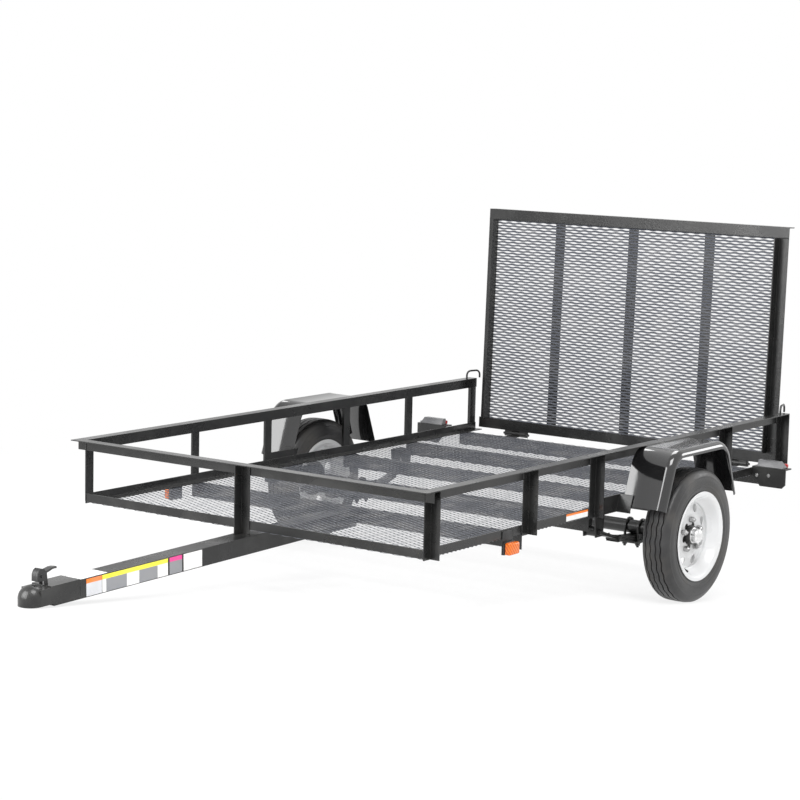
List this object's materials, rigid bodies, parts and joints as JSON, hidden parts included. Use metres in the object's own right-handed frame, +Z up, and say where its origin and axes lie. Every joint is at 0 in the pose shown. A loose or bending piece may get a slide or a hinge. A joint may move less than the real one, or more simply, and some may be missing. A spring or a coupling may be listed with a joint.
{
  "type": "utility trailer",
  "caption": "Single-axle open utility trailer with a mesh deck, side rails, ball coupler on a straight tongue, leaf springs, fenders and a fold-down mesh ramp gate",
  "frame": {"origin": "on the ground below the middle of the trailer's overall box", "axes": "+X is the trailer's left, -Y its front with the coupler, +Z up; the deck slopes nose-down about 6 degrees because the trailer is parked on its coupler"},
  "size_m": [1.85, 3.4864, 1.4158],
  "materials": {
    "black_steel": "semi-gloss black paint",
    "gloss_black": "gloss black paint",
    "mesh": "painted expanded steel",
    "white_wheel": "white enamel",
    "zinc": "bright zinc plate",
    "tyre": "black tread rubber",
    "red_lamp": "red lens in a black housing",
    "amber_lamp": "amber lens on a black plate"
  },
  "bodies": {
    "trailer_frame": {"tongue_beam": "black_steel", "coupler_body": "black_steel", "coupler_lever": "zinc", "top_rail_front": "black_steel", "top_rail_left": "black_steel", "top_rail_right": "black_steel", "deck_rail_front": "black_steel", "deck_rail_left": "black_steel", "deck_rail_right": "black_steel", "crossmember_1": "black_steel", "crossmember_2": "black_steel", "crossmember_3": "black_steel", "crossmember_4": "black_steel", "rear_crossmember": "black_steel", "deck_mesh": "mesh", "post_front": "black_steel", "posts_left": "black_steel", "posts_right": "black_steel", "axle_beam": "black_steel", "leaf_spring_left": "black_steel", "leaf_spring_right": "black_steel", "spring_hangers_left": "black_steel", "spring_hangers_right": "black_steel", "spring_clamp_left": "black_steel", "spring_clamp_right": "black_steel", "fender_left": "gloss_black", "fender_right": "gloss_black", "fender_bracket_left": "black_steel", "fender_bracket_right": "black_steel", "lamp_bracket_left": "black_steel", "lamp_bracket_right": "black_steel", "tail_lamp_left": "red_lamp", "tail_lamp_right": "red_lamp", "side_marker_left": "amber_lamp", "side_marker_right": "amber_lamp", "hinge_straps": "black_steel", "gate_latch_left": "black_steel", "gate_latch_right": "black_steel"},
    "left_wheel": {"tyre_left": "tyre", "rim_left": "white_wheel", "hub_left": "black_steel"},
    "right_wheel": {"tyre_right": "tyre", "rim_right": "white_wheel", "hub_right": "black_steel"},
    "ramp_gate": {"gate_top": "black_steel", "gate_bottom": "black_steel", "gate_stile_left": "black_steel", "gate_stile_right": "black_steel", "gate_bars": "black_steel", "gate_mesh": "mesh", "gate_hinges": "black_steel"}
  },
  "joints": [
    {"name": "left_wheel_spin", "type": "hinge", "parent": "trailer_frame", "child": "left_wheel", "pos_m": [0.866, 0.75346, 0.245], "axis": [1, 0, 0], "continuous": true},
    {"name": "right_wheel_spin", "type": "hinge", "parent": "trailer_frame", "child": "right_wheel", "pos_m": [-0.866, 0.75346, 0.245], "axis": [1, 0, 0], "continuous": true},
    {"name": "ramp_gate_fold", "type": "hinge", "parent": "trailer_frame", "child": "ramp_gate", "pos_m": [0, 1.70826, 0.45772], "axis": [-1, 0, 0], "range_deg": [0, 110]}
  ]
}
